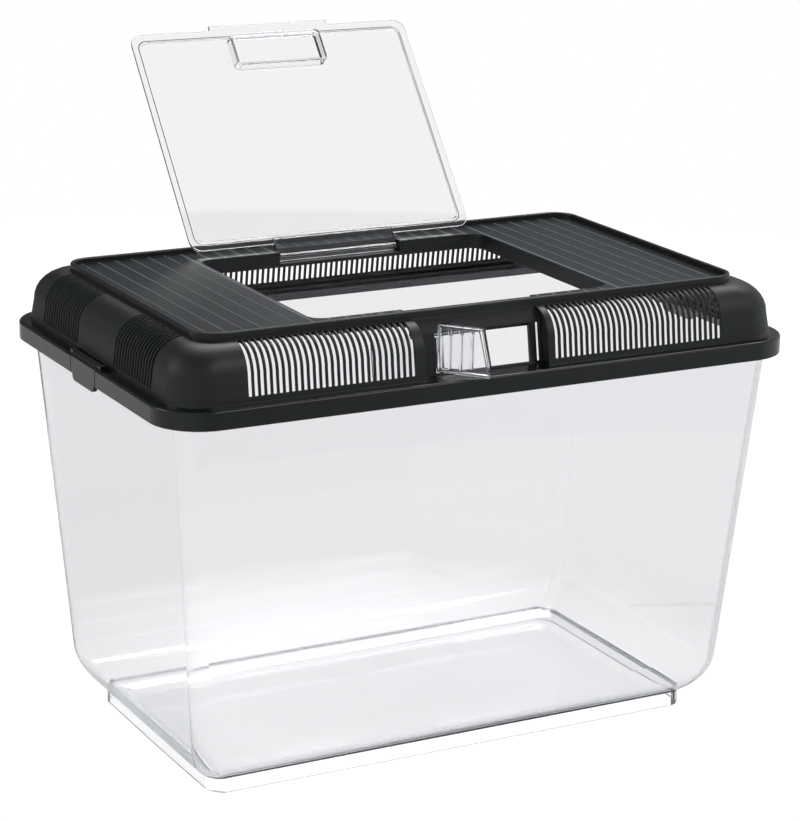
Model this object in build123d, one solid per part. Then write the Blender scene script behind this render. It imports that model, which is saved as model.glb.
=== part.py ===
from build123d import *
import math
import os

# Plastic pet keeper: a clear moulded tub, a black moulded lid with ventilation slots,
# a clear top flap, a clear feeding shutter at the front and a snap clip at each end.
# Millimetres, +Z up, front towards -Y. Everything is drawn about the middle of the tub's
# foot, and at the end it moves together so that the origin is the bottom centre of the
# whole keeper, with its flap open as in use.

CLEARANCE = 0.3            # between parts that rest on or stand beside each other
MANY = 400.0               # longer than any part: for cutting tools

# ---- the whole keeper: every other length and width follows from these ----
RIM_LENGTH = 370.0
RIM_WIDTH = 230.0
TUB_TOP = 217.5            # height of the tub

# ---- tub ----
TUB_INSET_END = 9.364      # top of the tub's walls inside the lid's rim
TUB_INSET_SIDE = 11.114
FOOT_INSET_END = 11.2      # foot inside the walls carried down to the floor
FOOT_INSET_SIDE = 8.75
FOOT_CORNER = 14.3
FOOT_WALL = 2.6
FOOT_BLEND = 14.0          # how far the foot's wall runs up into the rounded bottom
FLOOR_HEIGHT = 3.3         # underside of the floor above the surface
WALL_DRAFT = 0.08          # outward lean of each wall, mm per mm of height
TUB_WALL = 2.2
BOTTOM_ROUND = 28.0
TUB_CORNER_LOW = 8.0
TUB_CORNER_HIGH = 10.0
ROUND_STEPS = 9
FLANGE_THICKNESS = 2.3
FLANGE_GAP = 0.5           # flange to the inside of the lid's skirt

# ---- lid shell ----
RIM_CORNER = 27.0
RIM_WALL = 2.5
RIM_ROUND = 1.5
SKIRT_DEPTH = 7.5          # how far the skirt hangs below the tub's top
LEDGE_THICKNESS = 2.2
LID_WALL = 1.6
LEDGE_END = 6.1            # ledge outside the dome's foot
LEDGE_SIDE = 5.9
DOME_CORNER = 20.0
DOME_DRAFT = 0.16
DOME_RISE = 28.3
SHOULDER_RISE = 16.5
SHOULDER_STEPS = 8
SHOULDER_END = 19.3        # from the dome's foot to the lip
SHOULDER_SIDE = 17.6
LIP_CORNER = 13.6
LIP_WALL = 2.5
LIP_HEIGHT = 4.2
LIP_ROUND = 0.9
LIP_MARGIN = 0.9           # flat between the shoulder and the lip
PLATE_RAISE = 0.9          # plates inside the lip, above the dome's top
LINE_START = 11.9          # first raised line on each plate, from the hatch
LINE_PITCH = 9.8
LINE_WIDTH = 0.7
LINE_HEIGHT = 0.3
LINE_MARGIN = 3.0

# ---- ventilation slots ----
SLOT_PITCH = 3.363
SLOT_WIDTH = 2.1
SLOT_START = 3.0           # bottom of the slots above the ledge
SLOT_LIP_GAP = 1.4
SLOT_END_GAP = 39.5        # outermost slots inside the dome's ends
SLOT_RECESS_GAP = 5.3      # front slots beside the recess
END_SLOTS = 15             # in each of the two groups on an end
END_GROUP_INSET = 59.9     # middle of a group inside the dome's front or back

# ---- hatch and top flap ----
PLATE_LENGTH = 68.5        # plate at each side of the hatch
HATCH_MARGIN_FRONT = 17.9  # from the lip's outside
HATCH_MARGIN_BACK = 20.5
HATCH_CORNER = 8.0
COLLAR_WALL = 2.0
COLLAR_DEPTH = 8.7
HINGE_SETBACK = 3.8        # hinge line behind the hatch's rear wall
HINGE_DROP = 4.0           # hinge line below the plates' surface
FLAP_OPEN_ANGLE = 129.0
FLAP_FRONT_GAP = 0.8
FLAP_SIDE_GAP = 0.6
FLAP_BORDER = 1.6          # thickness of the flap's border
FLAP_STEP = 1.0            # its middle stands this much above the border
FLAP_BORDER_WIDTH = 4.0
FLAP_WALL = 1.6
FLAP_CORNER = 7.0
TONGUE_LENGTH = 8.3        # hinge line to the flap's back edge
TONGUE_WIDTH = 74.4
TONGUE_THICKNESS = 1.8
BARREL_RADIUS = 1.9
PIN_RADIUS = 1.2
PIN_LENGTH = 3.0
PIN_CLEARANCE = 0.05
CHEEK_WIDTH = 4.6
CHEEK_GAP = 0.7
HINGE_POCKET_WALL = 2.0
TAB_WIDTH = 75.6           # tab on the free edge
TAB_REACH = 3.0
SCOOP_LENGTH = 57.6        # finger scoop pressed into the flap behind the tab
SCOOP_WIDTH = 21.0
SCOOP_DEPTH = 5.0
SCOOP_FROM_EDGE = 5.5
SCOOP_CORNER = 3.0

# ---- feeding port and shutter ----
RECESS_LEFT = -41.8
RECESS_RIGHT = 30.5
RECESS_DEPTH = 8.3         # from the foot of the dome's front
RECESS_WALL = 1.6
RECESS_LEAN = 9.5          # the recess wall and the shutter lean back with the dome
PORT_LEFT = -31.5
PORT_RIGHT = 24.5
PORT_SILL = 1.0            # above the recess floor
PORT_HEIGHT = 20.2
BROW_START = 0.6           # sloping brow above the port
BROW_DROP = 1.0            # its top edge below the dome's top
BROW_WALL = 2.4
SIDE_SLOT_X = 29.0
SIDE_SLOT_WIDTH = 1.7
SHUTTER_THICKNESS = 1.7
SHUTTER_OVERLAP = 1.4      # shutter below the port's lower edge
SHUTTER_TOP_GAP = 0.3      # shutter below the port's upper edge
SHUTTER_END_OVERLAP = 1.2
SHUTTER_TRAVEL = 34.0
RAIL_THICKNESS = 2.2
RAIL_LIP = 1.3
RAIL_GAP = 0.4
RAIL_HOLD = 0.7            # lower rail's rear lip over the shutter's bottom edge
GRIP_X = -33.5             # left edge of the thumb grip's open face
GRIP_REACH = 3.2           # that edge in front of the foot of the recess wall
GRIP_ANGLE = 50.0
GRIP_TOP_WIDTH = 24.0
GRIP_FOOT_WIDTH = 29.0
GRIP_HEIGHT = 25.0
GRIP_FLOOR_GAP = 2.6
GRIP_DEPTH = 5.0
GRIP_WALL = 1.6
GRIP_RIBS = 3
GRIP_RIB_WIDTH = 1.2
GRIP_RIB_HEIGHT = 2.2
STEM_WIDTH = 4.0
STEM_MARGIN = 2.0

# ---- end clips ----
CLIP_WIDTH = 33.2
CLIP_TAB_WIDTH = 30.0
CLIP_TAB_TOP = 210.0
CLIP_BOTTOM = 206.5
CLIP_CORNER = 3.2
CLIP_PLATE = 2.3
CLIP_SIDE_GAP = 0.4
CLIP_BARREL = 2.4
CLIP_AXIS_ABOVE = 2.1      # hinge line above the flange's top
CLIP_PIN_RADIUS = 1.0
CLIP_PIN_LENGTH = 2.8
CLIP_CHEEK_WIDTH = 3.6
CLIP_CHEEK_TOP = 2.0       # cheeks stand this much above the ledge
CLIP_NOSE = 2.6            # clip's top outer edge below its barrel's crown
HOOK_WIDTH = 20.0
HOOK_HEIGHT = 3.0
HOOK_DROP = 0.5            # hook below the flange's underside
HOOK_REACH = 3.0

# ---- sizes, heights and places that follow ----
WALL_LEAN = WALL_DRAFT * (TUB_TOP - FLOOR_HEIGHT)
FLOOR_LENGTH = RIM_LENGTH - 2 * (TUB_INSET_END + WALL_LEAN)
FLOOR_WIDTH = RIM_WIDTH - 2 * (TUB_INSET_SIDE + WALL_LEAN)
FOOT_LENGTH = FLOOR_LENGTH - 2 * FOOT_INSET_END
FOOT_WIDTH = FLOOR_WIDTH - 2 * FOOT_INSET_SIDE
DOME_LENGTH = RIM_LENGTH - 2 * LEDGE_END
DOME_WIDTH = RIM_WIDTH - 2 * LEDGE_SIDE
LIP_LENGTH = DOME_LENGTH - 2 * SHOULDER_END
LIP_WIDTH = DOME_WIDTH - 2 * SHOULDER_SIDE
HATCH_LENGTH = LIP_LENGTH - 2 * (LIP_WALL + PLATE_LENGTH)
HATCH_FRONT = HATCH_MARGIN_FRONT - LIP_WIDTH / 2
HATCH_BACK = LIP_WIDTH / 2 - HATCH_MARGIN_BACK
LINE_FIRST = HATCH_LENGTH / 2 + LINE_START
LINE_COUNT = int((PLATE_LENGTH - LINE_START - LINE_MARGIN) / LINE_PITCH) + 1
RIM_BOTTOM = TUB_TOP - SKIRT_DEPTH
LEDGE_BOTTOM = TUB_TOP + CLEARANCE
LEDGE_TOP = LEDGE_BOTTOM + LEDGE_THICKNESS
DOME_TOP = LEDGE_TOP + DOME_RISE
LIP_TOP = DOME_TOP + LIP_HEIGHT
PLATE_TOP = DOME_TOP + PLATE_RAISE
COLLAR_BOTTOM = PLATE_TOP - COLLAR_DEPTH
FLANGE_INSET = RIM_WALL + FLANGE_GAP
DOME_END = DOME_LENGTH / 2
FRONT_LEFT_START = SLOT_END_GAP - DOME_END
FRONT_RIGHT_START = RECESS_RIGHT + SLOT_RECESS_GAP
FRONT_LEFT_SPAN = RECESS_LEFT - SLOT_RECESS_GAP - FRONT_LEFT_START
FRONT_RIGHT_SPAN = DOME_END - SLOT_END_GAP - FRONT_RIGHT_START
FRONT_LEFT_SLOTS = int(FRONT_LEFT_SPAN / SLOT_PITCH) + 1
FRONT_RIGHT_SLOTS = int(FRONT_RIGHT_SPAN / SLOT_PITCH) + 1
BACK_SLOTS = 2 * int((DOME_END - SLOT_END_GAP) / SLOT_PITCH) + 1
END_GROUP_CENTRE = DOME_WIDTH / 2 - END_GROUP_INSET
HINGE_Y = HATCH_BACK + HINGE_SETBACK
HINGE_Z = PLATE_TOP - HINGE_DROP
FLAP_BACK = HINGE_Y - TONGUE_LENGTH
FLAP_FRONT = HATCH_FRONT + FLAP_FRONT_GAP
FLAP_LENGTH = HATCH_LENGTH - 2 * FLAP_SIDE_GAP
FLAP_MIDDLE = (FLAP_FRONT + FLAP_BACK) / 2
NOTCH_WIDTH = TONGUE_WIDTH + 2 * CHEEK_GAP
RECESS_FACE = -DOME_WIDTH / 2 + RECESS_DEPTH
SHUTTER_FRONT = RECESS_FACE + RECESS_WALL + RAIL_GAP
SHUTTER_BACK = SHUTTER_FRONT + SHUTTER_THICKNESS
RAIL_LIP_FRONT = SHUTTER_BACK + RAIL_GAP
RAIL_BACK = RAIL_LIP_FRONT + RAIL_LIP
GRIP_Y = RECESS_FACE - GRIP_REACH
PORT_BOTTOM = LEDGE_TOP + PORT_SILL
PORT_TOP = PORT_BOTTOM + PORT_HEIGHT
SHUTTER_BOTTOM = PORT_BOTTOM - SHUTTER_OVERLAP
SHUTTER_TOP = PORT_TOP - SHUTTER_TOP_GAP
CLIP_AXIS_X = DOME_END + CLEARANCE + CLIP_BARREL
CLIP_AXIS_Z = TUB_TOP + CLIP_AXIS_ABOVE
CLIP_OUTER = RIM_LENGTH / 2
CLIP_INNER = CLIP_OUTER - CLIP_PLATE
CLIP_NOTCH = CLIP_WIDTH / 2 + CLIP_SIDE_GAP


def block(x0, x1, y0, y1, z0, z1):
    """A box between two corners."""
    middle = ((x0 + x1) / 2, (y0 + y1) / 2, (z0 + z1) / 2)
    return Pos(*middle) * Box(x1 - x0, y1 - y0, z1 - z0)


def slab(length, width, corner, z0, z1, y=0.0):
    """A flat slab with a rounded rectangle as its plan."""
    return Pos(0, y, z0) * extrude(RectangleRounded(length, width, corner), z1 - z0)


def rod_x(radius, length, y, z):
    """A round bar along X, centred on (0, y, z)."""
    return Pos(0, y, z) * Rot(0, 90, 0) * Cylinder(radius, length)


def rod_y(radius, length, x, z):
    """A round bar along Y, centred on (x, 0, z)."""
    return Pos(x, 0, z) * Rot(90, 0, 0) * Cylinder(radius, length)


def prism_x(outline, x0, x1):
    """A solid whose outline in Y and Z is the given polygon, from x0 to x1."""
    face = make_face(Polyline(*[(x0, y, z) for y, z in outline], close=True))
    return extrude(face, x1 - x0, dir=(1, 0, 0))


def prism_y(outline, y0, y1):
    """A solid whose outline in X and Z is the given polygon, from y0 to y1."""
    face = make_face(Polyline(*[(x, y0, z) for x, z in outline], close=True))
    return extrude(face, y1 - y0, dir=(0, 1, 0))


def stacked(sections):
    """Loft straight from plan to plan; a section is (length, width, corner, z)."""
    plans = []
    for length, width, corner, z in sections:
        plans.append(Pos(0, 0, z) * RectangleRounded(length, width, corner))
    return loft(plans, ruled=True)


def tub_form(inset, top):
    """Drafted walls on a rounded bottom, moved in by inset from the outer face."""
    sections = []
    radius = BOTTOM_ROUND - inset
    for step in range(ROUND_STEPS + 1):
        angle = math.pi / 2 * step / ROUND_STEPS
        rise = radius * (1 - math.cos(angle)) + inset
        tuck = radius * (1 - math.sin(angle)) + inset - WALL_DRAFT * rise
        sections.append((FLOOR_LENGTH - 2 * tuck, FLOOR_WIDTH - 2 * tuck,
                         TUB_CORNER_LOW, FLOOR_HEIGHT + rise))
    tuck = inset - WALL_DRAFT * (top - FLOOR_HEIGHT)
    sections.append((FLOOR_LENGTH - 2 * tuck, FLOOR_WIDTH - 2 * tuck,
                     TUB_CORNER_HIGH, top))
    return stacked(sections)


def dome_form(inset):
    """The lid's raised form: drafted side, rounded shoulder, flat top."""
    turn = DOME_TOP - SHOULDER_RISE
    draft = DOME_DRAFT * (turn - LEDGE_TOP)
    reach_x = (DOME_LENGTH - LIP_LENGTH) / 2 - LIP_MARGIN - draft - inset
    reach_y = (DOME_WIDTH - LIP_WIDTH) / 2 - LIP_MARGIN - draft - inset
    sections = [(DOME_LENGTH - 2 * inset, DOME_WIDTH - 2 * inset,
                 DOME_CORNER, LEDGE_BOTTOM)]
    for step in range(SHOULDER_STEPS + 1):
        angle = math.pi / 2 * step / SHOULDER_STEPS
        turned = 1 - math.cos(angle)
        tuck_x = draft + inset + reach_x * turned
        tuck_y = draft + inset + reach_y * turned
        corner = DOME_CORNER - (DOME_CORNER - LIP_CORNER) * turned
        z = turn + (SHOULDER_RISE - inset) * math.sin(angle)
        sections.append((DOME_LENGTH - 2 * tuck_x, DOME_WIDTH - 2 * tuck_y, corner, z))
    return stacked(sections)


def both_ends(shape):
    """The shape with its mirror image at the other end of the keeper."""
    return shape + mirror(shape, about=Plane.YZ)


def make_tub():
    """Clear tub: drafted box with a rounded bottom, a foot wall and a top flange."""
    tub = tub_form(0.0, TUB_TOP)
    tub += slab(FOOT_LENGTH, FOOT_WIDTH, FOOT_CORNER, 0, FOOT_BLEND) - slab(
        FOOT_LENGTH - 2 * FOOT_WALL, FOOT_WIDTH - 2 * FOOT_WALL,
        FOOT_CORNER - FOOT_WALL, 0, FOOT_BLEND)
    flange = slab(RIM_LENGTH - 2 * FLANGE_INSET, RIM_WIDTH - 2 * FLANGE_INSET,
                  RIM_CORNER - FLANGE_INSET, TUB_TOP - FLANGE_THICKNESS, TUB_TOP)
    half_notch = CLIP_NOTCH + CLIP_CHEEK_WIDTH + CLEARANCE
    flange -= both_ends(block(DOME_END + CLEARANCE, MANY, -half_notch, half_notch,
                              0, TUB_TOP))
    return tub + flange - tub_form(TUB_WALL, TUB_TOP + 1)


def lid_shell():
    """Skirt, ledge, dome, lip and the raised plates with their fine lines."""
    rim = slab(RIM_LENGTH, RIM_WIDTH, RIM_CORNER, RIM_BOTTOM, LEDGE_TOP)
    rim = fillet(rim.edges().group_by(Axis.Z)[-1], RIM_ROUND)
    rim -= slab(RIM_LENGTH - 2 * RIM_WALL, RIM_WIDTH - 2 * RIM_WALL,
                RIM_CORNER - RIM_WALL, RIM_BOTTOM, LEDGE_BOTTOM)
    inner_length = LIP_LENGTH - 2 * LIP_WALL
    inner_width = LIP_WIDTH - 2 * LIP_WALL
    inner_corner = LIP_CORNER - LIP_WALL
    lip = slab(LIP_LENGTH, LIP_WIDTH, LIP_CORNER, DOME_TOP - 1, LIP_TOP)
    lip -= slab(inner_length, inner_width, inner_corner, PLATE_TOP, LIP_TOP)
    shell = rim + dome_form(0.0) + fillet(lip.edges().group_by(Axis.Z)[-1], LIP_ROUND)
    shell -= dome_form(LID_WALL)
    shell -= slab(inner_length, inner_width, inner_corner,
                  DOME_TOP - LID_WALL - 1, PLATE_TOP - LID_WALL)
    half_line = inner_width / 2 - LINE_MARGIN
    for i in range(LINE_COUNT):
        x = LINE_FIRST + LINE_PITCH * i
        shell += both_ends(block(x - LINE_WIDTH / 2, x + LINE_WIDTH / 2, -half_line,
                                 half_line, PLATE_TOP - LINE_HEIGHT,
                                 PLATE_TOP + LINE_HEIGHT))
    return shell


def slot_row(start, count):
    """Positions of a row of ventilation slots."""
    return [start + SLOT_PITCH * i for i in range(count)]


def slot_tools():
    """One flat cutter for each ventilation slot, front, back and both ends."""
    bottom = LEDGE_TOP + SLOT_START
    front = LIP_WIDTH / 2 + SLOT_LIP_GAP
    end = LIP_LENGTH / 2 + SLOT_LIP_GAP
    half = SLOT_WIDTH / 2
    tools = []
    for x in (slot_row(FRONT_LEFT_START, FRONT_LEFT_SLOTS)
              + slot_row(FRONT_RIGHT_START, FRONT_RIGHT_SLOTS)):
        tools.append(block(x - half, x + half, -MANY, -front, bottom, LIP_TOP))
    for x in slot_row(-SLOT_PITCH * (BACK_SLOTS - 1) / 2, BACK_SLOTS):
        tools.append(block(x - half, x + half, front, MANY, bottom, LIP_TOP))
    row = slot_row(END_GROUP_CENTRE - SLOT_PITCH * (END_SLOTS - 1) / 2, END_SLOTS)
    for y in row + [-y for y in row]:
        tools.append(block(-MANY, -end, y - half, y + half, bottom, LIP_TOP))
        tools.append(block(end, MANY, y - half, y + half, bottom, LIP_TOP))
    return tools


def leaned(shape):
    """Tip a shape back with the recess wall, about the foot of that wall."""
    return shape.rotate(Axis((0, RECESS_FACE, LEDGE_TOP), (1, 0, 0)), -RECESS_LEAN)


def shutter_rails():
    """Grooves behind the recess wall in which the shutter slides, upright."""
    left = RECESS_LEFT - RECESS_WALL
    stop = PORT_RIGHT + SHUTTER_END_OVERLAP + CLEARANCE
    back = RECESS_FACE + RECESS_WALL
    groove = SHUTTER_BOTTOM - RAIL_GAP
    foot = groove - RAIL_THICKNESS
    rails = block(left, stop, back, RAIL_BACK, foot, groove)
    rails += block(left, stop, RAIL_LIP_FRONT, RAIL_BACK, foot, SHUTTER_BOTTOM + RAIL_HOLD)
    rails += block(left, stop, RAIL_LIP_FRONT, RAIL_BACK,
                   SHUTTER_TOP - SHUTTER_OVERLAP, LIP_TOP)
    rails += block(stop, stop + RECESS_WALL, back, RAIL_BACK, foot, SHUTTER_TOP)
    return rails


def with_recess(lid):
    """Add the front recess with its brow, its port and the shutter's rails."""
    brow_low = PORT_TOP + BROW_START
    rise = math.tan(math.radians(RECESS_LEAN))
    face_low = RECESS_FACE - rise * LEDGE_THICKNESS
    face_high = RECESS_FACE + rise * (brow_low - LEDGE_TOP)
    brow_y = -LIP_WIDTH / 2 - CLEARANCE
    brow_z = DOME_TOP - BROW_DROP
    slope = (brow_z - brow_low) / (brow_y - face_high)
    inside = [(-MANY, LEDGE_BOTTOM), (face_low + RECESS_WALL, LEDGE_BOTTOM),
              (face_high + RECESS_WALL, brow_low + slope * RECESS_WALL - BROW_WALL),
              (brow_y + LIP_WALL, brow_z + slope * LIP_WALL - BROW_WALL),
              (brow_y + LIP_WALL, DOME_TOP), (-MANY, DOME_TOP)]
    lid += dome_form(0.0) & prism_x(inside, RECESS_LEFT - RECESS_WALL,
                                    RECESS_RIGHT + RECESS_WALL)
    outside = [(-MANY, LEDGE_TOP), (RECESS_FACE, LEDGE_TOP), (face_high, brow_low),
               (brow_y, brow_z), (brow_y, LIP_TOP), (-MANY, LIP_TOP)]
    lid -= prism_x(outside, RECESS_LEFT, RECESS_RIGHT)
    lid += leaned(shutter_rails()) - block(-MANY, MANY, -MANY, MANY,
                                           DOME_TOP - LID_WALL / 2, MANY)
    back = RECESS_FACE + RECESS_WALL + RAIL_GAP / 2
    lid -= leaned(block(PORT_LEFT, PORT_RIGHT, RECESS_FACE - 1, back,
                        PORT_BOTTOM, PORT_TOP))
    lid -= leaned(block(SIDE_SLOT_X - SIDE_SLOT_WIDTH / 2,
                        SIDE_SLOT_X + SIDE_SLOT_WIDTH / 2,
                        RECESS_FACE - 1, back, PORT_BOTTOM, PORT_TOP))
    return lid


def with_hatch(lid):
    """Add the hatch's collar, the flap's hinge pocket and the shelf for its tab."""
    width = HATCH_BACK - HATCH_FRONT
    middle = (HATCH_BACK + HATCH_FRONT) / 2
    under_plate = PLATE_TOP - LID_WALL / 2
    lid += slab(HATCH_LENGTH + 2 * COLLAR_WALL, width + 2 * COLLAR_WALL,
                HATCH_CORNER + COLLAR_WALL, COLLAR_BOTTOM, under_plate, middle)

    lean = math.radians(FLAP_OPEN_ANGLE - 90)
    tongue_back = HINGE_Y + HINGE_DROP * math.tan(lean)
    tongue_back += TONGUE_THICKNESS / 2 / math.cos(lean)
    notch_back = tongue_back + CLEARANCE
    half_notch = NOTCH_WIDTH / 2
    half_pocket = half_notch + CHEEK_WIDTH
    lid += block(-half_pocket, half_pocket, HATCH_BACK, notch_back + HINGE_POCKET_WALL,
                 COLLAR_BOTTOM, under_plate)
    half_shelf = TAB_WIDTH / 2 + FLAP_SIDE_GAP
    shelf_front = FLAP_FRONT - TAB_REACH - FLAP_SIDE_GAP
    lid += block(-half_shelf - COLLAR_WALL, half_shelf + COLLAR_WALL,
                 shelf_front - COLLAR_WALL, HATCH_FRONT, COLLAR_BOTTOM, under_plate)

    lid -= slab(HATCH_LENGTH, width, HATCH_CORNER, COLLAR_BOTTOM, LIP_TOP, middle)
    lid -= block(-half_shelf, half_shelf, shelf_front, HATCH_FRONT,
                 HINGE_Z - FLAP_BORDER / 2 - CLEARANCE, LIP_TOP)
    lid -= block(-half_notch, half_notch, HATCH_BACK - COLLAR_WALL, notch_back,
                 HINGE_Z - BARREL_RADIUS - CHEEK_GAP, LIP_TOP)
    pin_end = TONGUE_WIDTH / 2 + PIN_LENGTH + CHEEK_GAP
    lid -= rod_x(PIN_RADIUS + PIN_CLEARANCE, 2 * pin_end, HINGE_Y, HINGE_Z)
    return lid


def with_clip_seats(lid):
    """Cut the rim for the end clips and add the cheeks that hold their pins."""
    cheek_end = CLIP_NOTCH + CLIP_CHEEK_WIDTH
    cheeks = block(DOME_END - LID_WALL / 2, CLIP_OUTER - RIM_ROUND, -cheek_end,
                   cheek_end, LEDGE_BOTTOM, LEDGE_TOP + CLIP_CHEEK_TOP)
    lid += both_ends(cheeks)
    lid -= both_ends(block(DOME_END, MANY, -CLIP_NOTCH, CLIP_NOTCH, 0, LIP_TOP))
    pin_end = CLIP_WIDTH / 2 + CLIP_PIN_LENGTH + CLIP_SIDE_GAP
    lid -= both_ends(rod_y(CLIP_PIN_RADIUS + PIN_CLEARANCE, 2 * pin_end,
                           CLIP_AXIS_X, CLIP_AXIS_Z))
    return lid


def make_lid():
    """Black lid, one moulding."""
    lid = with_recess(lid_shell())
    lid = with_hatch(lid)
    lid = with_clip_seats(lid)
    return lid - slot_tools()


def make_flap():
    """Clear top flap, drawn closed and then swung open about its hinge line."""
    width = FLAP_BACK - FLAP_FRONT
    low = HINGE_Z - FLAP_BORDER / 2
    high = HINGE_Z + FLAP_BORDER / 2
    raised = 2 * FLAP_BORDER_WIDTH
    hollow = raised + 2 * FLAP_WALL
    flap = slab(FLAP_LENGTH, width, FLAP_CORNER, low, high, FLAP_MIDDLE)
    flap += slab(FLAP_LENGTH - raised, width - raised, FLAP_CORNER - FLAP_WALL,
                 low, high + FLAP_STEP, FLAP_MIDDLE)
    flap -= slab(FLAP_LENGTH - hollow, width - hollow, FLAP_CORNER - 2 * FLAP_WALL,
                 low, low + FLAP_STEP, FLAP_MIDDLE)
    flap += block(-TAB_WIDTH / 2, TAB_WIDTH / 2, FLAP_FRONT - TAB_REACH,
                  FLAP_FRONT + FLAP_BORDER_WIDTH, low, high)

    scoop_y = FLAP_FRONT + SCOOP_FROM_EDGE + SCOOP_WIDTH / 2
    flap += slab(SCOOP_LENGTH, SCOOP_WIDTH, SCOOP_CORNER, low - SCOOP_DEPTH,
                 high, scoop_y)
    flap -= slab(SCOOP_LENGTH - 2 * FLAP_WALL, SCOOP_WIDTH - 2 * FLAP_WALL,
                 SCOOP_CORNER - FLAP_WALL, low - SCOOP_DEPTH + FLAP_WALL,
                 high + FLAP_STEP, scoop_y)

    flap += block(-TONGUE_WIDTH / 2, TONGUE_WIDTH / 2, FLAP_BACK - FLAP_BORDER_WIDTH,
                  HINGE_Y, HINGE_Z - TONGUE_THICKNESS / 2, HINGE_Z + TONGUE_THICKNESS / 2)
    flap += rod_x(BARREL_RADIUS, TONGUE_WIDTH, HINGE_Y, HINGE_Z)
    flap += rod_x(PIN_RADIUS, TONGUE_WIDTH + 2 * PIN_LENGTH, HINGE_Y, HINGE_Z)
    return flap.rotate(Axis((0, HINGE_Y, HINGE_Z), (1, 0, 0)), -FLAP_OPEN_ANGLE)


def make_grip():
    """Thumb grip: a shallow dish with upright ribs, flared towards its foot."""
    def outline(edge):
        right_low = GRIP_FOOT_WIDTH - edge
        right_high = GRIP_TOP_WIDTH - edge
        return [(edge, edge), (right_low, edge), (right_high, GRIP_HEIGHT - edge),
                (edge, GRIP_HEIGHT - edge)]
    grip = prism_y(outline(0.0), 0, GRIP_DEPTH)
    grip -= prism_y(outline(GRIP_WALL), 0, GRIP_DEPTH - GRIP_WALL)
    spacing = GRIP_TOP_WIDTH / (GRIP_RIBS + 1)
    rib_back = GRIP_DEPTH - GRIP_WALL
    for i in range(GRIP_RIBS):
        x = spacing * (i + 1)
        grip += block(x - GRIP_RIB_WIDTH / 2, x + GRIP_RIB_WIDTH / 2,
                      rib_back - GRIP_RIB_HEIGHT, rib_back,
                      GRIP_WALL, GRIP_HEIGHT - GRIP_WALL)
    z = LEDGE_TOP + GRIP_FLOOR_GAP
    return Pos(GRIP_X, GRIP_Y, z) * Rot(0, 0, -GRIP_ANGLE) * grip


def make_shutter():
    """Clear feeding shutter, open as in use: flat panel, stem and thumb grip."""
    left = PORT_LEFT - SHUTTER_END_OVERLAP - SHUTTER_TRAVEL
    right = PORT_RIGHT + SHUTTER_END_OVERLAP - SHUTTER_TRAVEL
    panel = block(left, right, SHUTTER_FRONT, SHUTTER_BACK, SHUTTER_BOTTOM, SHUTTER_TOP)
    stem_left = PORT_LEFT + RAIL_GAP
    stem = block(stem_left, stem_left + STEM_WIDTH, RECESS_FACE - STEM_MARGIN,
                 SHUTTER_FRONT, PORT_BOTTOM + STEM_MARGIN, PORT_TOP - STEM_MARGIN)
    return leaned(panel + stem) + make_grip()


def make_clip():
    """Snap clip for the right-hand end: barrel with pins, plate, rounded tab, hook."""
    crown = CLIP_AXIS_Z + CLIP_BARREL
    nose = crown - CLIP_NOSE
    plate_profile = [(CLIP_OUTER, CLIP_TAB_TOP), (CLIP_OUTER, nose),
                     (CLIP_AXIS_X, crown), (CLIP_AXIS_X, CLIP_AXIS_Z),
                     (CLIP_INNER, CLIP_AXIS_Z - CLIP_BARREL), (CLIP_INNER, CLIP_TAB_TOP)]
    clip = prism_y(plate_profile, -CLIP_WIDTH / 2, CLIP_WIDTH / 2)
    clip += rod_y(CLIP_BARREL, CLIP_WIDTH, CLIP_AXIS_X, CLIP_AXIS_Z)
    clip += rod_y(CLIP_PIN_RADIUS, CLIP_WIDTH + 2 * CLIP_PIN_LENGTH,
                  CLIP_AXIS_X, CLIP_AXIS_Z)
    tab = block(CLIP_INNER, CLIP_OUTER, -CLIP_TAB_WIDTH / 2, CLIP_TAB_WIDTH / 2,
                CLIP_BOTTOM, CLIP_TAB_TOP)
    tab = fillet(tab.edges().filter_by(Axis.X).group_by(Axis.Z)[0], CLIP_CORNER)
    hook_top = TUB_TOP - FLANGE_THICKNESS - HOOK_DROP
    hook_tip = CLIP_INNER - HOOK_REACH
    hook = prism_y([(CLIP_INNER, hook_top), (hook_tip, hook_top),
                    (CLIP_INNER, hook_top - HOOK_HEIGHT)], -HOOK_WIDTH / 2, HOOK_WIDTH / 2)
    return clip + tab + hook


def main():
    clip = make_clip()
    parts = {"tub": make_tub(), "lid": make_lid(), "top_flap": make_flap(),
             "feed_shutter": make_shutter(), "side_clip_right": clip,
             "side_clip_left": mirror(clip, about=Plane.YZ)}
    boxes = [part.bounding_box() for part in parts.values()]
    front = min(box.min.Y for box in boxes)
    back = max(box.max.Y for box in boxes)
    shift = -(front + back) / 2
    os.makedirs("parts", exist_ok=True)
    for name, part in parts.items():
        export_step(part.moved(Location((0, shift, 0))), f"parts/{name}.step")
    print("moved along Y by", round(shift, 4))


main()
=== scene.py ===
"""Plastic pet keeper: clear polystyrene tub, black lid, snap clips, clear flap and shutter."""
import math

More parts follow.
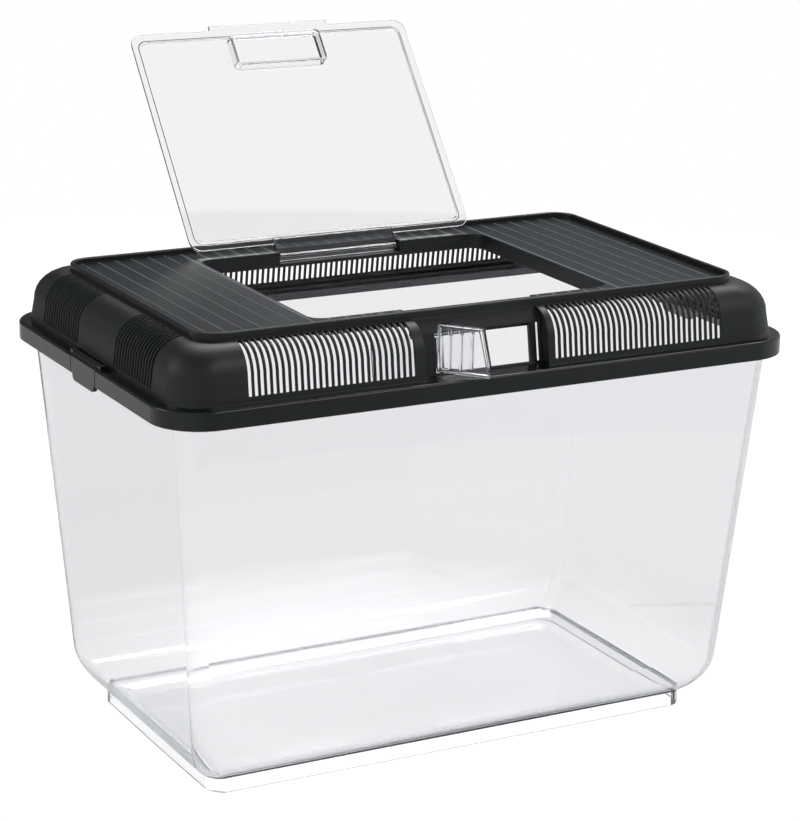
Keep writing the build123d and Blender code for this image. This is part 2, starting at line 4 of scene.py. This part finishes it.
import bmesh
import bpy
import numpy as np
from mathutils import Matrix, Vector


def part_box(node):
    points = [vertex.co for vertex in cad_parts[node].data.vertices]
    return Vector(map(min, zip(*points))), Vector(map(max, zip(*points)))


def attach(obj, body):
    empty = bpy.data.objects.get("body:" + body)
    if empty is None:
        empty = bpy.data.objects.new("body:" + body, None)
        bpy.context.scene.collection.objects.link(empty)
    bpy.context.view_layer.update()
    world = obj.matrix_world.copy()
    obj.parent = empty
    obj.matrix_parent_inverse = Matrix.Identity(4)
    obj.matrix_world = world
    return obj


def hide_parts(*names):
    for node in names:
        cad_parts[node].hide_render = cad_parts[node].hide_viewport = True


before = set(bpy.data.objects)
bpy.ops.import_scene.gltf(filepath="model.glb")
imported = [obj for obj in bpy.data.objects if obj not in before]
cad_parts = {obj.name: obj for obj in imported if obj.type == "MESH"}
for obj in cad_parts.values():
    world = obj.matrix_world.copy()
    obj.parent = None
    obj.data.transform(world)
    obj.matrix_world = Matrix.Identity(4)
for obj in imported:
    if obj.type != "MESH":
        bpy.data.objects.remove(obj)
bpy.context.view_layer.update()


# ---- The studio ----
# A pale floor that keeps a soft shadow, a camera a little above the lid and to the left,
# and three soft lamps: one overhead and behind, and weaker ones in front and at the left.

def linear(colour):
    """The linear RGBA of an sRGB hex colour: each channel through the sRGB curve."""
    srgb = np.array([int(colour[i:i + 2], 16) for i in (1, 3, 5)]) / 255
    curve = np.where(srgb <= 0.04045, srgb / 12.92, ((srgb + 0.055) / 1.055) ** 2.4)
    return (*[float(c) for c in curve], 1.0)


def add(tree, kind, settings=None, **inputs):
    """A new node of that kind: settings are its own properties, and inputs are socket
    values, or the output sockets that feed them. Underscores stand for spaces."""
    made = tree.nodes.new(kind)
    for name, value in (settings or {}).items():
        setattr(made, name, value)
    for name, value in inputs.items():
        key = int(name[1:]) if name[0] == "i" and name[1:].isdigit() else name.replace("_", " ")
        if isinstance(value, bpy.types.NodeSocket):
            tree.links.new(value, made.inputs[key])
        else:
            made.inputs[key].default_value = value
    return made


def blank(name):
    """An empty material with its output node, as (material, tree, output)."""
    material = bpy.data.materials.new(name)
    material.use_nodes = True
    tree = material.node_tree
    tree.nodes.clear()
    return material, tree, tree.nodes.new("ShaderNodeOutputMaterial")


def lamp(name, place, aim, size, power):
    """A soft rectangular lamp at place, turned towards aim, in metres and watts."""
    light = bpy.data.lights.new(name, "AREA")
    light.shape = "RECTANGLE"
    light.size, light.size_y = size
    light.energy = power
    holder = bpy.data.objects.new(name, light)
    bpy.context.scene.collection.objects.link(holder)
    holder.location = place
    reach = np.array(aim) - np.array(place)
    flat = math.hypot(reach[0], reach[1])
    holder.rotation_euler = (math.atan2(flat, -reach[2]), 0, math.atan2(-reach[0], reach[1]))


scene = bpy.context.scene
scene.view_settings.view_transform = "Standard"

camera = bpy.data.objects.new("camera", bpy.data.cameras.new("camera"))
scene.collection.objects.link(camera)
scene.camera = camera
camera.data.sensor_fit = "HORIZONTAL"
camera.data.sensor_width = 36
camera.data.lens = 124.5
camera.location = (-0.6906, -1.3153, 0.5922)
camera.rotation_euler = [math.radians(a) for a in (73.976, -0.866, -27.900)]

# The unlit room round the table: dim behind, paler to both sides and in front. The eye
# sees white there. Light that comes straight through clear plastic, and was not mirrored
# before, sees nearly white at table height and a dim room higher up. Mirrored light sees
# the dim room.
WHITE = linear("#FFFFFF")
TABLE_HAZE, HIGH_HAZE = 0.98, 0.3

world = bpy.data.worlds.new("studio")
scene.world = world
world.use_nodes = True
tree = world.node_tree
tree.nodes.clear()
way = add(tree, "ShaderNodeTexCoord")
way = add(tree, "ShaderNodeSeparateXYZ", i0=way.outputs["Generated"])
left = add(tree, "ShaderNodeMapRange", Value=way.outputs["X"], From_Min=-0.2, From_Max=-0.95,
           To_Min=0.0, To_Max=0.4)
right = add(tree, "ShaderNodeMapRange", Value=way.outputs["X"], From_Min=0.4, From_Max=0.98,
            To_Min=0.0, To_Max=0.6)
front = add(tree, "ShaderNodeMapRange", Value=way.outputs["Y"], From_Min=0.3, From_Max=-0.9,
            To_Min=0.12, To_Max=0.44)
sides = add(tree, "ShaderNodeMath", i0=left.outputs[0], i1=right.outputs[0])
walls = add(tree, "ShaderNodeMath", i0=sides.outputs[0], i1=front.outputs[0])
rays = add(tree, "ShaderNodeLightPath")
straight = add(tree, "ShaderNodeMath", {"operation": "SUBTRACT", "use_clamp": True},
               i0=rays.outputs["Is Transmission Ray"], i1=rays.outputs["Glossy Depth"])
haze = add(tree, "ShaderNodeMapRange", Value=way.outputs["Z"], From_Min=0.0, From_Max=0.35,
           To_Min=TABLE_HAZE, To_Max=HIGH_HAZE)
room = add(tree, "ShaderNodeBackground", Color=linear("#EEF3F8"), Strength=walls.outputs[0])
glass = add(tree, "ShaderNodeBackground", Color=WHITE, Strength=haze.outputs[0])
paper = add(tree, "ShaderNodeBackground", Color=WHITE, Strength=1.0)
around = add(tree, "ShaderNodeMixShader", i0=straight.outputs[0], i1=room.outputs[0],
             i2=glass.outputs[0])
around = add(tree, "ShaderNodeMixShader", i0=rays.outputs["Is Camera Ray"],
             i1=around.outputs[0], i2=paper.outputs[0])
add(tree, "ShaderNodeOutputWorld", Surface=around.outputs[0])

lamp("overhead", (0.8, 0.9, 1.85), (0, 0, 0.1), (1.6, 0.7), 26)
lamp("front", (0.65, -1.45, 1.4), (0, 0, 0.2), (1.0, 0.5), 6)
lamp("left_end", (-1.6, 0.6, 1.0), (0, 0, 0.2), (1.0, 1.0), 5)

# Painted board, matt. To the eye it is nearly white, and part of its brightness is still
# the light that falls on it, so the shadow stays. Straight through clear plastic it glows
# with a painted pool of light, brightest under the keeper. Mirrored and scattered light
# sees the plain lit board.
NEAR, FAR = 0.1, 0.24                       # from the middle of the floor
NEAR_GLOW, FAR_GLOW = 1.12, 0.8
FLOOR_REACH, FLOOR_MIDDLE_Y, FLOOR_POINTS = (1.1, 0.9), 0.42, 96

board, tree, output = blank("matt_white_board")
rays = add(tree, "ShaderNodeLightPath")
straight = add(tree, "ShaderNodeMath", {"operation": "SUBTRACT", "use_clamp": True},
               i0=rays.outputs["Is Transmission Ray"], i1=rays.outputs["Glossy Depth"])
plain = add(tree, "ShaderNodeBsdfDiffuse", Color=linear("#E4E4E4"))
spot = add(tree, "ShaderNodeTexCoord")
spot = add(tree, "ShaderNodeVectorMath", {"operation": "LENGTH"}, i0=spot.outputs["Object"])
# A painted pool of light: brighter near the middle of the floor, seen only through clear
# plastic.
painted_light_pool = add(tree, "ShaderNodeMapRange", Value=spot.outputs["Value"], From_Min=NEAR,
           From_Max=FAR, To_Min=NEAR_GLOW, To_Max=FAR_GLOW)
glow_in_glass = add(tree, "ShaderNodeEmission", Color=WHITE, Strength=painted_light_pool.outputs[0])
lit_in_glass = add(tree, "ShaderNodeBsdfDiffuse", Color=linear("#5A5A5A"))
in_glass = add(tree, "ShaderNodeAddShader", i0=lit_in_glass.outputs[0],
               i1=glow_in_glass.outputs[0])
glow_to_eye = add(tree, "ShaderNodeEmission", Color=WHITE, Strength=0.86)
lit_to_eye = add(tree, "ShaderNodeBsdfDiffuse", Color=linear("#8D8D8D"))
to_eye = add(tree, "ShaderNodeAddShader", i0=lit_to_eye.outputs[0], i1=glow_to_eye.outputs[0])
both = add(tree, "ShaderNodeMixShader", i0=straight.outputs[0], i1=plain.outputs[0],
           i2=in_glass.outputs[0])
both = add(tree, "ShaderNodeMixShader", i0=rays.outputs["Is Camera Ray"],
           i1=both.outputs[0], i2=to_eye.outputs[0])
tree.links.new(both.outputs[0], output.inputs["Surface"])

turn = np.linspace(0, 2 * math.pi, FLOOR_POINTS, endpoint=False)
edge = np.stack([FLOOR_REACH[0] * np.cos(turn),
                 FLOOR_MIDDLE_Y + FLOOR_REACH[1] * np.sin(turn), 0 * turn], 1)
floor_mesh = bpy.data.meshes.new("floor")
floor_mesh.from_pydata(edge, [], [list(range(FLOOR_POINTS))])
floor = bpy.data.objects.new("floor", floor_mesh)
scene.collection.objects.link(floor)
floor_mesh.materials.append(board)


# ---- Tub ----
# Clear crystal polystyrene, injection moulded in one piece: drafted walls on a rounded
# bottom, a foot wall under it and a flange round the top that carries the lid.

low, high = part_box("tub")
MIDDLE_Y = (low.y + high.y) / 2

# Copied from the solid model: a change of size there has to be made here too.
FLOOR_PLAN = np.array([0.3170, 0.1735])     # walls carried down to the floor
FLOOR_Z, TOP_Z = 0.0033, 0.2175
DRAFT = 0.08
ROUND = 0.028
WALL = 0.0022
FOOT = np.array([0.2946, 0.1560])
FOOT_CORNER, FOOT_WALL = 0.0143, 0.0026
FLANGE = np.array([0.3640, 0.2240])
FLANGE_CORNER, FLANGE_THICKNESS = 0.0240, 0.0023
NOTCH_X, NOTCH_Y = 0.1792, 0.0209


def ring(length, width, corner, z, turns=10, notch=None):
    """Points round a rounded rectangle at height z, anticlockwise from above: four quarter
    circles set in from the corners, with straight sides between them. length, width,
    corner and z may be arrays with one value for each ring. Where notch is given, the
    middle of each end is pushed in to that x."""
    length, width, corner, z = np.broadcast_arrays(
        *[np.atleast_1d(np.asarray(v, float)) for v in (length, width, corner, z)])
    turn = np.linspace(0, math.pi / 2, turns)
    parts = []
    for quarter, (sx, sy) in enumerate(((1, 1), (-1, 1), (-1, -1), (1, -1))):
        angle = turn + quarter * math.pi / 2
        x = (sx * (length / 2 - corner))[:, None] + corner[:, None] * np.cos(angle)
        y = (sy * (width / 2 - corner))[:, None] + corner[:, None] * np.sin(angle)
        parts.append(np.stack([x, y], -1))
        if quarter in (1, 3):
            edge = -length / 2 if quarter == 1 else length / 2
            inner = edge if notch is None else np.sign(edge) * np.minimum(np.abs(edge), notch)
            side = sy * NOTCH_Y
            run = [(edge, side), (inner, side), (inner, -side), (edge, -side)]
            parts.append(np.stack([np.stack([ex, np.full_like(ex, ey)], -1)
                                   for ex, ey in run], 1))
    plan = np.concatenate(parts, 1)
    return np.concatenate([plan, np.broadcast_to(z[:, None, None], plan.shape[:2] + (1,))], -1)


def closed_shell(name, rings):
    """A mesh from a stack of rings (rings, points, 3): quads join each ring to the next,
    and the first and last are closed with one flat face each."""
    count, points = rings.shape[:2]
    index = np.arange(count * points).reshape(count, points)
    a, b = index[:-1], np.roll(index[:-1], -1, 1)
    c, d = np.roll(index[1:], -1, 1), index[1:]
    quads = np.stack([d, c, b, a], -1).reshape(-1, 4)
    faces = quads.tolist() + [index[0].tolist(), index[-1][::-1].tolist()]
    mesh = bpy.data.meshes.new(name)
    mesh.from_pydata(rings.reshape(-1, 3), [], faces)
    return mesh


def tidy_mesh(mesh, weld, sharp, planar=None):
    """Merge doubles closer than weld, join faces flatter than planar degrees, and round
    the shading over every edge that turns less than sharp degrees."""
    work = bmesh.new()
    work.from_mesh(mesh)
    bmesh.ops.remove_doubles(work, verts=work.verts, dist=weld)
    bmesh.ops.dissolve_degenerate(work, edges=work.edges, dist=weld / 2)
    if planar is not None:
        bmesh.ops.dissolve_limit(work, angle_limit=math.radians(planar), verts=work.verts,
                                 edges=work.edges)
    work.to_mesh(mesh)
    work.free()
    mesh.polygons.foreach_set("use_smooth", [True] * len(mesh.polygons))
    mesh.set_sharp_from_angle(angle=math.radians(sharp))
    mesh.update()


def piece(name, mesh, body, material, *nodes, edge=0.0):
    """Put a mesh in the scene as a piece that rides on a body and stands for nodes.
    Sharp edges are rounded by that much, as a mould rounds them."""
    made = bpy.data.objects.new(name, mesh)
    scene.collection.objects.link(made)
    mesh.materials.clear()
    mesh.materials.append(material)
    if edge:
        soft = made.modifiers.new("moulded_edges", "BEVEL")
        soft.width = edge
        soft.segments = 2
        soft.angle_limit = math.radians(42)
        soft.use_clamp_overlap = False
    flats = made.modifiers.new("flat_walls_lead", "WEIGHTED_NORMAL")
    flats.mode = "FACE_AREA"
    flats.weight = 100
    flats.keep_sharp = True
    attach(made, body)
    if nodes:
        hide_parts(*nodes)


def bottom_section(angle, inset):
    """Plan and height of the tub's form at that angle round its bottom: a quarter circle
    of radius ROUND, leaning out with the walls."""
    rise = (ROUND - inset) * (1 - np.cos(angle)) + inset
    tuck = (ROUND - inset) * (1 - np.sin(angle)) + inset - DRAFT * rise
    return FLOOR_PLAN[0] - 2 * tuck, FLOOR_PLAN[1] - 2 * tuck, FLOOR_Z + rise


def bottom_point(angle, inset, corner):
    """One point of the rounded bottom for each point round the ring, each at its own
    angle: the ring of its section, read at that place."""
    length, width, z = bottom_section(angle, inset)
    return ring(length, width, corner, z)[np.arange(len(angle)), np.arange(len(angle))]


def where_crossed(plan, corner_radius, inset, corner):
    """For each point round the ring, the angle at which the rounded bottom crosses an
    upright wall with a rounded rectangle as its plan, found by halving the interval."""
    count = ring(1, 1, 0.1, 0).shape[1]
    low_angle = np.zeros(count)
    high_angle = np.full(count, math.pi / 2)
    for _ in range(40):
        middle = (low_angle + high_angle) / 2
        p = bottom_point(middle, inset, corner)
        q = np.abs(p[:, :2]) - (plan / 2 - corner_radius)
        outside = np.hypot(*np.maximum(q, 0).T) + np.minimum(q.max(1), 0) - corner_radius
        low_angle = np.where(outside < 0, middle, low_angle)
        high_angle = np.where(outside < 0, high_angle, middle)
    return high_angle


CORNER_LOW, CORNER_HIGH = 0.008, 0.010
INSIDE_LESS = 0.0012                        # the inside corners are that much tighter
turns = np.linspace(0, math.pi / 2, 17)
inside_length, inside_width, inside_z = bottom_section(turns, WALL)
inside_low = ring(inside_length, inside_width, CORNER_LOW - INSIDE_LESS, inside_z)
lean = DRAFT * (TOP_Z - FLOOR_Z)
wall_heights = np.linspace(0.06, 1, 8)
span = FLOOR_Z + ROUND + (TOP_Z - FLOOR_Z - ROUND) * wall_heights


def wall_rings(inset, heights, corner_less):
    """Rings up the drafted wall at those heights: the plan grows with the draft and the
    corner radius grows evenly to the top."""
    grow = inset - DRAFT * (heights - FLOOR_Z)
    share = (heights - FLOOR_Z - ROUND) / (TOP_Z - FLOOR_Z - ROUND)
    corner = CORNER_LOW + (CORNER_HIGH - CORNER_LOW) * np.maximum(share, 0) - corner_less
    return ring(FLOOR_PLAN[0] - 2 * grow, FLOOR_PLAN[1] - 2 * grow, corner, heights)


inside_high = wall_rings(WALL, span[:-1], INSIDE_LESS)
throat = wall_rings(WALL, np.array([TOP_Z - 0.0004, TOP_Z - 0.0001]), INSIDE_LESS)
mouth = wall_rings(WALL - 0.0004, np.array([TOP_Z]), INSIDE_LESS)
flange_outline = np.array([[-0.0004, TOP_Z], [0, TOP_Z - 0.0003],
                           [0, TOP_Z - FLANGE_THICKNESS + 0.0003],
                           [-0.0004, TOP_Z - FLANGE_THICKNESS]])
flange = ring(FLANGE[0] + 2 * flange_outline[:, 0], FLANGE[1] + 2 * flange_outline[:, 0],
              FLANGE_CORNER, flange_outline[:, 1], notch=NOTCH_X)
outside_span = FLOOR_Z + ROUND + (TOP_Z - FLANGE_THICKNESS - FLOOR_Z - ROUND) * wall_heights
outside_high = wall_rings(0.0, outside_span[::-1], 0.0)
foot_angle = where_crossed(FOOT, FOOT_CORNER, 0.0, CORNER_LOW)
hollow_angle = where_crossed(FOOT - 2 * FOOT_WALL, FOOT_CORNER - FOOT_WALL, 0.0, CORNER_LOW)
outside_round = np.stack([
    bottom_point(math.pi / 2 + (foot_angle - math.pi / 2) * s, 0.0, CORNER_LOW)
    for s in np.linspace(0, 1, 12)])
foot_top = outside_round[-1]
hollow_top = bottom_point(hollow_angle, 0.0, CORNER_LOW)


def flat(points, z, pull=0.0):
    """The same plan at height z, drawn in towards the middle by pull."""
    size = np.linalg.norm(points[:, :2], axis=1, keepdims=True)
    return np.concatenate([points[:, :2] * (1 - pull / size), np.full((len(points), 1), z)], 1)


foot = np.stack([flat(foot_top, 0.0004), flat(foot_top, 0.0, 0.0004),
                 flat(hollow_top, 0.0, -0.0004), flat(hollow_top, 0.0004)])
underside = np.stack([bottom_point(hollow_angle * s, 0.0, CORNER_LOW)
                      for s in np.linspace(1, 0, 8)])
tub_rings = np.concatenate([inside_low, inside_high, throat, mouth, flange, outside_high,
                            outside_round, foot, underside])
tub_rings[..., 1] += MIDDLE_Y
tub_mesh = closed_shell("tub_shell", tub_rings)
tidy_mesh(tub_mesh, 2e-6, 38)

# Crystal polystyrene, injection moulded and polished: water clear with a faint grey, a
# hard gloss, and slow waves in the wall that bend what is seen through it.
clear, tree, output = blank("clear_polystyrene")
place = add(tree, "ShaderNodeTexCoord")
waves = add(tree, "ShaderNodeTexNoise", Vector=place.outputs["Object"], Scale=22.0, Detail=1.0)
sink = add(tree, "ShaderNodeBump", Height=waves.outputs["Fac"], Strength=0.06, Distance=0.002)
polish = add(tree, "ShaderNodeTexNoise", Vector=place.outputs["Object"], Scale=60.0, Detail=3.0)
gloss = add(tree, "ShaderNodeMapRange", Value=polish.outputs["Fac"], To_Min=0.015, To_Max=0.05)
plastic = add(tree, "ShaderNodeBsdfPrincipled", Base_Color=linear("#FDFDFE"),
              Roughness=gloss.outputs["Result"], IOR=1.59, Transmission_Weight=1.0,
              Normal=sink.outputs["Normal"])
rays = add(tree, "ShaderNodeLightPath")
bare = add(tree, "ShaderNodeBsdfTransparent", Color=linear("#F6F7F8"))
through = add(tree, "ShaderNodeMixShader", i0=rays.outputs["Is Shadow Ray"],
              i1=plastic.outputs[0], i2=bare.outputs[0])
tree.links.new(through.outputs[0], output.inputs["Surface"])

piece("tub_shell", tub_mesh, "tub", clear, "tub")


# ---- Lid ----
# Black polypropylene moulding that sits on the flange: skirt, domed shoulders with cut
# ventilation slots, raised lip, hatch with its hinge pocket, and the feeding recess.

def traced(node):
    """A new mesh with a CAD node's points and triangles, and nothing else of it: its
    doubles merged and its flat faces joined, shaded round below 32 degrees."""
    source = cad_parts[node].data
    points = np.empty(len(source.vertices) * 3)
    source.vertices.foreach_get("co", points)
    corners = np.empty(len(source.loops), int)
    source.loops.foreach_get("vertex_index", corners)
    mesh = bpy.data.meshes.new(node + "_copy")
    mesh.from_pydata(points.reshape(-1, 3), [], corners.reshape(-1, 3).tolist())
    tidy_mesh(mesh, 2e-6, 32, planar=0.3)
    return mesh


# Black polypropylene from a finely spark-eroded mould: matt on the dome, satin on the
# plates and glossier on the rim, going grey where it mirrors the lamps and the room. The
# crests of the fine lines on the plates carry a painted highlight in pale dashes of a
# guessed length, standing in for the light those crests catch.
LINE_PITCH, LINE_START = 0.0098, 0.0025     # the first line from the middle
LINE_FULL, LINE_END = 0.0003, 0.00065       # half widths: full tone, and none
DASH = 0.0022
PLATE_START, PLATE_FULL = 0.2489, 0.2491    # heights between which the plates' tops lie
LIP_START, LIP_FULL = 0.2498, 0.2501
RIM_END, DOME_START = 0.2205, 0.2230
RIM_ROUGH, DOME_ROUGH, PLATE_LESS = 0.18, 0.46, -0.14

black, tree, output = blank("black_polypropylene")
place = add(tree, "ShaderNodeTexCoord")
at = add(tree, "ShaderNodeSeparateXYZ", i0=place.outputs["Object"])
off = add(tree, "ShaderNodeMath", {"operation": "ABSOLUTE"}, i0=at.outputs["X"])
off = add(tree, "ShaderNodeMath", {"operation": "SUBTRACT"}, i0=off.outputs[0],
          i1=LINE_START)
off = add(tree, "ShaderNodeMath", {"operation": "PINGPONG"}, i0=off.outputs[0],
          i1=LINE_PITCH / 2)
stripe = add(tree, "ShaderNodeMapRange", Value=off.outputs[0], From_Min=LINE_FULL,
             From_Max=LINE_END, To_Min=1.0, To_Max=0.0)
above = add(tree, "ShaderNodeMapRange", Value=at.outputs["Z"],
            From_Min=PLATE_START, From_Max=PLATE_FULL)
below = add(tree, "ShaderNodeMapRange", Value=at.outputs["Z"], From_Min=LIP_START,
            From_Max=LIP_FULL, To_Min=1.0, To_Max=0.0)
plate = add(tree, "ShaderNodeMath", {"operation": "MULTIPLY"}, i0=above.outputs[0],
            i1=below.outputs[0])
beat = add(tree, "ShaderNodeMath", {"operation": "MULTIPLY"}, i0=at.outputs["Y"],
           i1=2 * math.pi / DASH)
beat = add(tree, "ShaderNodeMath", {"operation": "SINE"}, i0=beat.outputs[0])
facing = add(tree, "ShaderNodeNewGeometry")
facing = add(tree, "ShaderNodeSeparateXYZ", i0=facing.outputs["Normal"])
# Painted highlight: only faces turned up get it, as the line crests catch light from above.
flat_up = add(tree, "ShaderNodeMath", {"operation": "MULTIPLY", "use_clamp": True},
              i0=plate.outputs[0], i1=facing.outputs["Z"])
dash = add(tree, "ShaderNodeMapRange", Value=beat.outputs[0], From_Min=-1.0, To_Min=0.4)
painted_line_highlight = add(tree, "ShaderNodeMath", {"operation": "MULTIPLY"}, i0=stripe.outputs[0],
             i1=flat_up.outputs[0])
painted_line_highlight = add(tree, "ShaderNodeMath", {"operation": "MULTIPLY"}, i0=painted_line_highlight.outputs[0],
             i1=dash.outputs[0])
grain = add(tree, "ShaderNodeTexNoise", Vector=place.outputs["Object"], Scale=1400.0, Detail=2.0)
skin = add(tree, "ShaderNodeBump", Height=grain.outputs["Fac"], Strength=0.12, Distance=0.0001)
cloud = add(tree, "ShaderNodeTexNoise", Vector=place.outputs["Object"], Scale=30.0, Detail=3.0)
shade = add(tree, "ShaderNodeMix", {"data_type": "RGBA"}, i0=cloud.outputs["Fac"],
            i6=linear("#0D1112"), i7=linear("#121618"))
# The painted highlight of the line crests, pale grey, mixed into the plastic's colour.
shade = add(tree, "ShaderNodeMix", {"data_type": "RGBA"}, i0=painted_line_highlight.outputs[0],
            i6=shade.outputs[2], i7=linear("#9CA2A7"))
satin = add(tree, "ShaderNodeMapRange", Value=cloud.outputs["Fac"], To_Min=-0.04, To_Max=0.04)
matt = add(tree, "ShaderNodeMapRange", Value=at.outputs["Z"], From_Min=RIM_END,
           From_Max=DOME_START, To_Min=RIM_ROUGH, To_Max=DOME_ROUGH)
smooth = add(tree, "ShaderNodeMath", {"operation": "MULTIPLY_ADD"}, i0=above.outputs[0],
             i1=PLATE_LESS, i2=matt.outputs[0])
finish = add(tree, "ShaderNodeMath", i0=smooth.outputs[0], i1=satin.outputs[0])
moulding = add(tree, "ShaderNodeBsdfPrincipled", Base_Color=shade.outputs[2],
               Roughness=finish.outputs[0], IOR=1.49, Normal=skin.outputs["Normal"])
tree.links.new(moulding.outputs[0], output.inputs["Surface"])

LID_EDGE = 0.00025
piece("lid_moulding", traced("lid"), "lid", black, "lid", edge=LID_EDGE)


# ---- End clips ----
# Two black polypropylene snap clips, moulded apart and pushed with their pins between
# cheeks on the lid. The real ones hook under the flange; here the hook stops just short.
CLIP_EDGE = 0.0003
for clip in ("side_clip_left", "side_clip_right"):
    piece(clip.replace("side_", ""), traced(clip), clip, black, clip, edge=CLIP_EDGE)


# ---- Top flap ----
# Clear polystyrene flap with a raised middle, a finger scoop and tab at its free edge,
# and a tongue at the hinge whose moulded pins turn in two blind holes in the lid.
FLAP_EDGE = 0.0004
piece("flap_panel", traced("top_flap"), "top_flap", clear, "top_flap", edge=FLAP_EDGE)


# ---- Feeding shutter ----
# Clear polystyrene slide, injection moulded, with a ribbed thumb grip on a short stem. It
# runs behind the port in two grooved rails on the lid.
SHUTTER_EDGE = 0.0004
piece("shutter_slide", traced("feed_shutter"), "feed_shutter", clear, "feed_shutter",
      edge=SHUTTER_EDGE)
